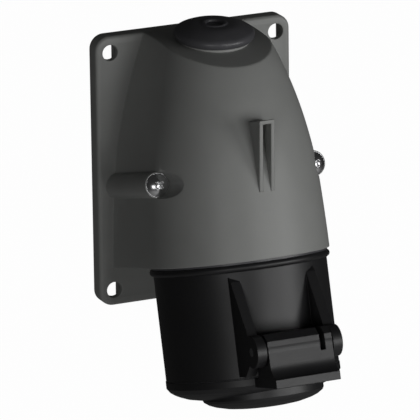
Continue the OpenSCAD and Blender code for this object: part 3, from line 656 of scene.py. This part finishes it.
def eased(before, corner, after, reach, steps=5):
    """Rows of the quadratic curve that eases a corner row between the rows before and after it."""
    a, b = before - corner, after - corner
    la, lb = np.linalg.norm(a, axis=1, keepdims=True), np.linalg.norm(b, axis=1, keepdims=True)
    p = corner + a * np.minimum(reach / np.maximum(la, 1e-9), 0.9)
    q = corner + b * np.minimum(reach / np.maximum(lb, 1e-9), 0.9)
    t = np.linspace(0.0, 1.0, steps)[:, None, None]
    return (1 - t) ** 2 * p + 2 * t * (1 - t) * corner + t ** 2 * q


def troughs(side, bell, fit):
    """Draws the side in to x = boss_x - sqrt(r^2 - v^2) where a boss's cylinder, v above its
    axis, runs on in front of its seat."""
    s, c = math.sin(bell.tilt), math.cos(bell.tilt)
    d, z = side[..., 1] - bell.reach, side[..., 2] + bell.drop
    m, v = d * c + z * s, z * c - d * s - fit.boss_rise
    inside = (m > fit.seat - 0.6 * MM) & (np.abs(v) < fit.boss_r)
    limit = fit.boss_x - np.sqrt(np.maximum(fit.boss_r ** 2 - v ** 2, 0.0))
    x = side[..., 0]
    side[..., 0] = np.where(inside & (np.abs(x) > limit), np.sign(x) * limit, x)


def standing(flat, depth):
    """World places of flat points (x, height) at a depth from the wall, one depth for each row."""
    deep = np.zeros(flat.shape[:-1]) - depth
    return np.stack([flat[..., 0], deep, flat[..., 1]], axis=-1)


def unit_circle(steps):
    """Points (cos a, sin a) of the whole circle."""
    a = np.linspace(0.0, 2 * np.pi, steps, endpoint=False)
    return np.stack([np.cos(a), np.sin(a)], axis=1)


def rounded_rim(edge, steps):
    """Inset edge (1 - sin t) and depth below the face edge (1 - cos t) of a rounded edge."""
    t = np.linspace(0.0, np.pi / 2, steps)
    return edge * (1 - np.sin(t)), edge * (1 - np.cos(t))


def plate_parts(plate):
    """Wall plate: a closed grid of its edge's profile along its rounded outline and on into the
    skirt, its face and its underside filled round the four holes, and each hole as a strip.

    A corner's outline is its centre plus (r - inset) (cos t, sin t).
    """
    w, h, r = plate.width / 2, plate.height / 2, plate.corner_r
    foot = 0.1 * MM
    t = np.linspace(0.0, np.pi / 2, 10)
    arc = np.stack([np.cos(t), np.sin(t)], axis=1)
    corners = (((1, 1), arc), ((-1, 1), arc[::-1]), ((-1, -1), arc), ((1, -1), arc[::-1]))
    signs = np.concatenate([np.broadcast_to(sign, arc.shape) for sign, _ in corners]).astype(float)
    unit = np.concatenate([steps for _, steps in corners]) * signs
    centres = signs * (w - r, h - r)
    inset, below = rounded_rim(plate.edge_r, 6)
    rows = [centres + unit * (r - i) for i in (*inset, 0.0, foot)]
    inner = signs * (w - plate.skirt, h - plate.skirt_end)
    back = plate.depth - plate.face_wall
    flat = np.stack([*rows, inner, inner])
    grid = standing(flat, np.array([*(plate.depth - below), foot, 0.0, 0.0, back])[:, None])
    parts = [(grid, quads(*grid.shape[:2]))]

    places = np.array([(x, z) for x in (-1, 1) for z in (-1, 1)]) * (plate.hole_x, plate.hole_z)
    ring = unit_circle(48)
    inset, below = rounded_rim(plate.hole_edge, 5)
    radii = np.array([*(plate.hole_r + inset), plate.hole_r])
    for outline, radius, level in ((rows[0], radii[0], plate.depth), (inner, radii[-1], back)):
        loops = [outline] + [place + ring * radius for place in places]
        found = tessellate_polygon([[Vector((*p, 0.0)) for p in loop] for loop in loops])
        parts.append((standing(np.concatenate(loops), level), found))
    for place in places:
        strip = standing(place + ring * radii[:, None, None],
                         np.array([*(plate.depth - below), back])[:, None])
        parts.append((strip, quads(*strip.shape[:2])))
    return parts


def rib_parts(bell, plate, fit):
    """Hollow rib: two thin side slabs and a top slab, each an outline in depth and height. The
    outline's back follows the bell's front line, sunk a little into it."""
    form = BellForm(bell, plate)
    root = fit.rib_top - fit.rib_depth * math.tan(bell.tilt)
    soft = 0.3 * MM
    z = np.linspace(root, fit.rib_foot, 12)
    back = np.stack([form.lead(z) - 0.8 * MM, z], axis=1)
    tip = np.array([form.lead(fit.rib_top) + fit.rib_depth, fit.rib_top])
    toe = [form.lead(fit.rib_foot), fit.rib_foot]
    side = np.concatenate([softened([back[0], tip, toe], soft)[6:], back[::-1]])
    down = np.array([0.0, -fit.rib_wall])
    cover = softened([back[0], tip, tip + down, back[0] + down], soft) + (0.0, OVERLAP)
    half = fit.rib_w / 2
    parts = []
    for outline, low, high in ((side, -half, -half + fit.rib_wall),
                               (side, half - fit.rib_wall, half),
                               (cover, OVERLAP - half, half - OVERLAP)):
        grid = slab(outline, low, high, fit.edge)
        world = np.stack([grid[..., 2], -(plate.depth + grid[..., 0]), grid[..., 1]], axis=-1)
        parts.append((world, capped(world)))
    return parts


def at_boss(side, grid, fit, bell, plate, rise=0.0):
    """World places of a turned grid whose axis is a boss's axis, in front of or behind rise."""
    local = np.stack([side * fit.boss_x + grid[..., 0], rise + grid[..., 2],
                      fit.boss_rise + grid[..., 1]], axis=-1)
    return in_socket(local, bell, plate)


def wall_along(reach, fit, bell):
    """Place along a boss's axis of a plane that lies reach behind the mouth's middle."""
    return -(reach - fit.boss_rise * math.sin(bell.tilt)) / math.cos(bell.tilt)


def boss_part(side, bell, plate, fit):
    """Boss of one side: a turned cylinder from inside the plate to its softened seat."""
    back = wall_along(bell.reach, fit, bell) - 2.0 * MM
    corners = [[fit.boss_r, back], [fit.boss_r, fit.seat], [0.0, fit.seat]]
    profile = np.concatenate([[[0.0, back], [fit.boss_r, back]],
                              softened(corners, fit.edge, closed=False)])
    grid = turned(profile, 72)
    return at_boss(side, grid, fit, bell, plate), quads(*grid.shape[:2])


def collar_part(bell, plate, grommet):
    """Flat collar on the crown, turned, open in the middle for the grommet's neck."""
    profile = softened([[bell.entry_r, -bell.wall], [grommet.collar_r, -bell.wall],
                        [grommet.collar_r, grommet.collar_h],
                        [bell.entry_r, grommet.collar_h]], 0.12 * MM)
    world = on_crown(turned(profile, 120), grommet.reach, bell, plate)
    return world, quads(*world.shape[:2], along=True)


class RECEPTACLE_OT_housing(bpy.types.Operator):
    """Builds the housing's wall plate, bell, rib, bosses and collar"""

    bl_idname = "receptacle.housing"
    bl_label = "Housing"

    def execute(self, context):
        scene = context.scene
        plate, bell = scene.receptacle_plate, scene.receptacle_bell
        fit, grommet = scene.receptacle_fittings, scene.receptacle_grommet
        for name, parts in (
                ("wall_plate", plate_parts(plate)),
                ("bell", [bell_surface(bell, plate, fit, grommet)]),
                ("front_rib", rib_parts(bell, plate, fit)),
                ("screw_bosses", [boss_part(side, bell, plate, fit) for side in (-1, 1)]),
                ("entry_collar", [collar_part(bell, plate, grommet)])):
            piece(name, parts, "housing_plastic", "base", "housing")
        return {"FINISHED"}


def grommet_profile(size, bell):
    """Half section (r, z) of the grommet: inside with the lip, bead, dome, nipple ring.

    The bead is an arc, bead_x + R cos t and bead_z + R sin t. The dome is a cubic curve
    (1-u)^3 A + 3u(1-u)^2 B + 3u^2(1-u) C + u^3 D that leaves the bead along its end and reaches
    the ring level. Inside and ring are corners eased by softened.
    """
    base, top, skin = size.collar_h, size.collar_h + size.dome, size.skin
    bead_x, bead_z = size.outer_r - size.bead_r, base + size.bead_r
    end = np.pi * 0.36
    t = np.linspace(-np.pi / 2, end, 18)
    bead = np.stack([bead_x + size.bead_r * np.cos(t), bead_z + size.bead_r * np.sin(t)], axis=1)

    n, ring_foot = size.nipple_r, 0.45 * MM
    ring_z, well = top - 0.35 * MM, top - 0.9 * MM
    u = np.linspace(0.0, 1.0, 22)[1:, None]
    a, d = bead[-1], np.array([n + ring_foot, ring_z])
    b = a + np.array([-math.sin(end), math.cos(end)]) * 5.2 * MM
    c = d + np.array([2.6 * MM, -0.05 * MM])
    v = 1 - u
    dome = v ** 3 * a + 3 * u * v ** 2 * b + 3 * u ** 2 * v * c + u ** 3 * d
    ring = softened([d, [n + 0.1 * MM, top], [n - 0.9 * MM, top], [n - 1.25 * MM, top - 0.5 * MM],
                     [n - 1.25 * MM, well], [0.0, well]], 0.3 * MM, closed=False)

    low, lip = -bell.wall - 0.9 * MM, size.neck_r + size.lip
    lowest, room = low - 1.2 * MM, size.neck_r - skin
    inside = softened([[0.0, top - skin - 1.0 * MM], [room, top - skin - 1.8 * MM], [room, lowest],
                       [lip, lowest], [lip, low], [size.neck_r, low], [size.neck_r, base],
                       [bead_x, base]], 0.25 * MM, closed=False)
    return np.concatenate([inside, bead, dome, ring])


class RECEPTACLE_OT_grommet(bpy.types.Operator):
    """Builds the domed cable grommet"""

    bl_idname = "receptacle.grommet"
    bl_label = "Grommet"

    def execute(self, context):
        scene = context.scene
        size, bell = scene.receptacle_grommet, scene.receptacle_bell
        grid = turned(grommet_profile(size, bell), 120)
        grid = on_crown(grid, size.reach, bell, scene.receptacle_plate)
        piece("grommet_dome", [(grid, quads(*grid.shape[:2]))], "seal_rubber", "base",
              "cable_grommet", sharp=60.0)
        return {"FINISHED"}


def smooth_step(value, width):
    """Step from 0 to 1 while value goes from -width to width: t^2 (3 - 2t)."""
    t = np.clip((value + width) / (2 * width), 0.0, 1.0)
    return t * t * (3 - 2 * t)


def screw_head(fit):
    """Dome z = sqrt(R^2 - p^2) - (R - h) over rings p and angles a, on a short straight foot.

    The cross lowers the dome by its depth where one of the coordinates, turned to the arms, is
    inside an arm; the arms' walls are smooth steps.
    """
    dome_r = (fit.head_r ** 2 + fit.head_h ** 2) / (2 * fit.head_h)
    a = np.linspace(0.0, 2 * np.pi, 192, endpoint=False)[None, :]
    p = np.concatenate([np.linspace(0.0, 0.62, 56), np.linspace(0.64, 1.0, 14)])[:, None]
    p = p * fit.head_r
    x, y = p * np.cos(a), p * np.sin(a)
    z = np.sqrt(dome_r ** 2 - p ** 2) - (dome_r - fit.head_h)
    c, s = math.cos(math.radians(38.0)), math.sin(math.radians(38.0))
    u, v = np.abs(x * c + y * s), np.abs(y * c - x * s)
    wall = 0.10 * MM

    def arm(across, along):
        """1 inside an arm of the cross, 0 outside."""
        return np.minimum(smooth_step(fit.cross_w / 2 - across, wall),
                          smooth_step(fit.cross_l - along, 4 * wall))

    z = z - fit.cross_h * np.maximum(arm(u, v), arm(v, u))
    foot = turned(np.array([[fit.head_r, 0.15 * MM], [fit.head_r, 0.0], [0.0, 0.0]]), 192)
    grid = np.concatenate([np.stack([x, y, z], axis=-1), foot])
    return grid, quads(*grid.shape[:2])


def screw_shank(fit, bell, plate):
    """Shank from under the head to the wall side of its bush, turned."""
    end = wall_along(bell.reach + plate.depth - 1.7 * MM, fit, bell) - fit.seat
    start, r = -0.02 * MM, fit.shank_r
    grid = turned(np.array([[0.0, end], [r, end], [r, start], [0.0, start]]), 32)
    return grid, quads(*grid.shape[:2])


class RECEPTACLE_OT_screws(bpy.types.Operator):
    """Builds the two domed screws with their cross recess"""

    bl_idname = "receptacle.screws"
    bl_label = "Boss screws"

    def execute(self, context):
        scene = context.scene
        fit, bell = scene.receptacle_fittings, scene.receptacle_bell
        plate = scene.receptacle_plate
        for side, node in ((-1, "housing_screw_left"), (1, "housing_screw_right")):
            parts = [(at_boss(side, grid, fit, bell, plate, rise=fit.seat), faces)
                     for grid, faces in (screw_head(fit), screw_shank(fit, bell, plate))]
            piece(node.replace("housing", "domed"), parts, "screw_chrome", "base", node,
                  sharp=50.0)
        return {"FINISHED"}


def spring_path(size):
    """Centre line of the spring in the socket's frame: the leg on the sleeve, the coil, the leg
    in the lid.

    The coil is (start - pitch a / 2 pi, pin_reach + R sin a, R cos a - pin_drop). The first leg
    is a quadratic curve from the sleeve to the coil, the last one straight.
    """
    a = np.radians(np.arange(0.0, 360.0 * size.turns + 1, 10.0))
    coil = np.stack([size.start - size.pitch * a / (2 * np.pi),
                     size.pin_reach + size.coil_r * np.sin(a),
                     -size.pin_drop + size.coil_r * np.cos(a)], axis=1)
    t = np.linspace(0.0, 1.0, 14)[:-1, None]
    above = size.coil_r - size.pin_drop
    rest = np.array([size.start, size.sleeve_r + size.wire_r + 0.1 * MM, above - size.wire_r])
    bend = np.array([size.start, size.pin_reach - size.coil_r, above])
    leg = (1 - t) ** 2 * rest + 2 * t * (1 - t) * bend + t ** 2 * coil[0]
    down = np.array([[0.0, 0.0, -1.0]]) * np.linspace(0.0, 4.8 * MM, 8)[1:, None]
    return np.concatenate([leg, coil, coil[-1] + down])


class RECEPTACLE_OT_spring(bpy.types.Operator):
    """Winds the lid's torsion spring"""

    bl_idname = "receptacle.spring"
    bl_label = "Lid spring"

    def execute(self, context):
        scene = context.scene
        size = scene.receptacle_spring
        grid = in_socket(tube(spring_path(size), size.wire_r), scene.receptacle_bell,
                         scene.receptacle_plate)
        piece("lid_spring_wire", [(grid, capped(grid))], "steel", "base", "lid_spring")
        return {"FINISHED"}


class RECEPTACLE_OT_studio(bpy.types.Operator):
    """Sets the floor, the soft lights, the world and the camera"""

    bl_idname = "receptacle.studio"
    bl_label = "Studio"

    def execute(self, context):
        scene = context.scene
        scene.view_settings.view_transform = "Standard"
        size = scene.receptacle_studio
        self.floor(scene, size)
        self.world(scene, size)
        self.lights(size)
        self.camera(scene)
        return {"FINISHED"}

    def floor(self, scene, size):
        """Pale floor below the part, nearly white for the camera so that a soft shade stays."""
        low, span = CAD_BOX[0][2] - size.floor_drop, size.floor_span
        mesh = bpy.data.meshes.new("floor")
        mesh.from_pydata([(-span, -span, low), (span, -span, low), (span, span, low),
                          (-span, span, low)], [], [(0, 1, 2, 3)])
        made = bpy.data.objects.new("floor", mesh)
        scene.collection.objects.link(made)
        paper = bpy.data.materials.new("floor_paper")
        paper.use_nodes = True
        tree = paper.node_tree
        shader = tree.nodes["Principled BSDF"]
        shader.inputs["Base Color"].default_value = (*size.floor, 1.0)
        shader.inputs["Roughness"].default_value = 0.9
        tree.links.new(shown_white(tree, shader.outputs[0], size.floor_white),
                       tree.nodes["Material Output"].inputs[0])
        mesh.materials.append(paper)

    def world(self, scene, size):
        """White backdrop for the camera, a faint fill for everything else."""
        world = bpy.data.worlds.new("studio")
        scene.world = world
        world.use_nodes = True
        tree = world.node_tree
        soft = tree.nodes["Background"]
        soft.inputs["Color"].default_value = (1.0, 1.0, 1.0, 1.0)
        soft.inputs["Strength"].default_value = size.fill
        tree.links.new(shown_white(tree, soft.outputs[0], 1.0),
                       tree.nodes["World Output"].inputs[0])

    def lights(self, size):
        """Square lights on a sphere round the object: name, turn to the right and rise in
        degrees, and power in watts."""
        middle = np.array((0.0, -0.045, -0.015))
        for name, turn, rise, power in (("key", 42, 4, 3.6), ("front", 12, 3, 2.9),
                                        ("left", -34, 3, 1.6)):
            a, e = math.radians(turn), math.radians(rise)
            way = np.array((math.sin(a) * math.cos(e), -math.cos(a) * math.cos(e), math.sin(e)))
            area_light(name, middle + size.light_reach * way, middle, size.light, power)

    def camera(self, scene):
        """Camera on a sphere round the plate's face, aimed beside that point and rolled."""
        at = scene.receptacle_camera
        sin_a, cos_a = math.sin(at.turn), math.cos(at.turn)
        sin_e, cos_e = math.sin(at.rise), math.cos(at.rise)
        right = Vector((cos_a, -sin_a, 0.0))
        up = Vector((sin_a * sin_e, cos_a * sin_e, cos_e))
        back = Vector((-sin_a * cos_e, -cos_a * cos_e, sin_e))
        across = right * math.cos(at.roll) - up * math.sin(at.roll)
        upward = right * math.sin(at.roll) + up * math.cos(at.roll)
        face = Vector((0.0, -at.plate_depth, at.plate_rise))
        place = face + back * at.distance
        target = face + across * at.aim_right - upward * at.aim_down
        behind = (place - target).normalized()
        across = upward.cross(behind).normalized()
        upward = behind.cross(across)
        lens = bpy.data.cameras.new("camera")
        lens.lens = at.lens
        lens.sensor_width = 36.0
        lens.clip_start = 0.1
        made = bpy.data.objects.new("camera", lens)
        turn = Matrix((across, upward, behind)).transposed().to_4x4()
        made.matrix_world = Matrix.Translation(place) @ turn
        scene.collection.objects.link(made)
        scene.camera = made


class RECEPTACLE_PT_panel(bpy.types.Panel):
    """Lists the steps that dress the receptacle"""

    bl_idname = "RECEPTACLE_PT_panel"
    bl_label = "Receptacle"
    bl_space_type = "VIEW_3D"
    bl_region_type = "UI"
    bl_category = "Receptacle"

    def draw(self, context):
        for step in STEPS:
            self.layout.operator(step.bl_idname)


STEPS = (RECEPTACLE_OT_finishes, RECEPTACLE_OT_housing, RECEPTACLE_OT_grommet,
         RECEPTACLE_OT_screws, RECEPTACLE_OT_spring, RECEPTACLE_OT_studio)
SIZES = {
    "receptacle_plate": PlateSizes, "receptacle_bell": BellSizes,
    "receptacle_fittings": FittingSizes, "receptacle_grommet": GrommetSizes,
    "receptacle_spring": SpringSizes, "receptacle_camera": CameraSizes,
    "receptacle_studio": StudioSizes, "receptacle_finishes": Finishes,
}
CLASSES = (*SIZES.values(), *STEPS, RECEPTACLE_PT_panel)


def register():
    """Registers the classes and hangs the sizes on the scene."""
    for made in CLASSES:
        bpy.utils.register_class(made)
    for name, kind in SIZES.items():
        setattr(bpy.types.Scene, name, PointerProperty(type=kind))


def unregister():
    """Takes everything back that register does."""
    for name in SIZES:
        delattr(bpy.types.Scene, name)
    for made in reversed(CLASSES):
        bpy.utils.unregister_class(made)


def main():
    """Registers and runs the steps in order."""
    register()
    bpy.ops.receptacle.finishes()
    bpy.ops.receptacle.housing()
    bpy.ops.receptacle.grommet()
    bpy.ops.receptacle.screws()
    bpy.ops.receptacle.spring()
    bpy.ops.receptacle.studio()


if __name__ == "__main__":
    main()
